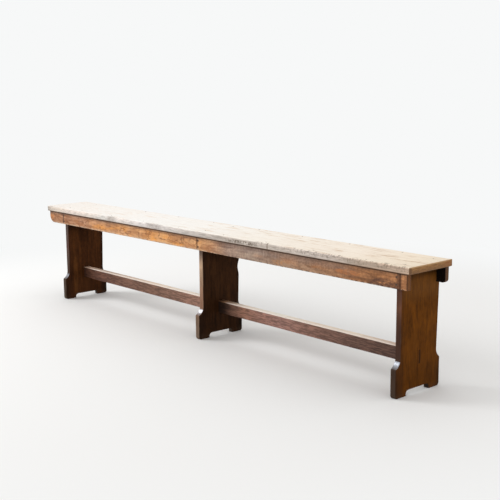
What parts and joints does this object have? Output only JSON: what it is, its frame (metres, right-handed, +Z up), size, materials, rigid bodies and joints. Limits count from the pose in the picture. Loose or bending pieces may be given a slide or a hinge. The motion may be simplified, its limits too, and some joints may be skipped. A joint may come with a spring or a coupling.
{
  "type": "refectory bench",
  "caption": "Long plank-seat refectory bench on cut-out board legs, with housed aprons and low stretchers between the legs.",
  "frame": {"origin": "on the floor, midway along the seat board and midway between the front and back feet", "axes": "+X along the seat towards the end with the short overhang, +Y from the front to the back, +Z up; the front faces -Y"},
  "size_m": [2.29, 0.238, 0.455],
  "materials": {
    "scrubbed_seat_wood": "bare, scrubbed pale, with worn edges",
    "varnished_apron_wood": "old orange-brown varnish, satin, worn at the edges",
    "dark_leg_wood": "dark stain and wax, satin",
    "worn_stretcher_wood": "stained, dusty, rubbed pale along the top edge",
    "wedge_wood": "dark end grain",
    "nail_iron": "dark rusted iron"
  },
  "bodies": {
    "root": {"seat_board": "scrubbed_seat_wood", "front_apron": "varnished_apron_wood", "back_apron": "varnished_apron_wood", "left_leg": "dark_leg_wood", "centre_leg": "dark_leg_wood", "right_leg": "dark_leg_wood", "left_stretcher": "worn_stretcher_wood", "right_stretcher": "worn_stretcher_wood", "tenon_wedges": "wedge_wood", "seat_nails": "nail_iron", "front_apron_nails": "nail_iron", "back_apron_nails": "nail_iron"}
  },
  "joints": []
}
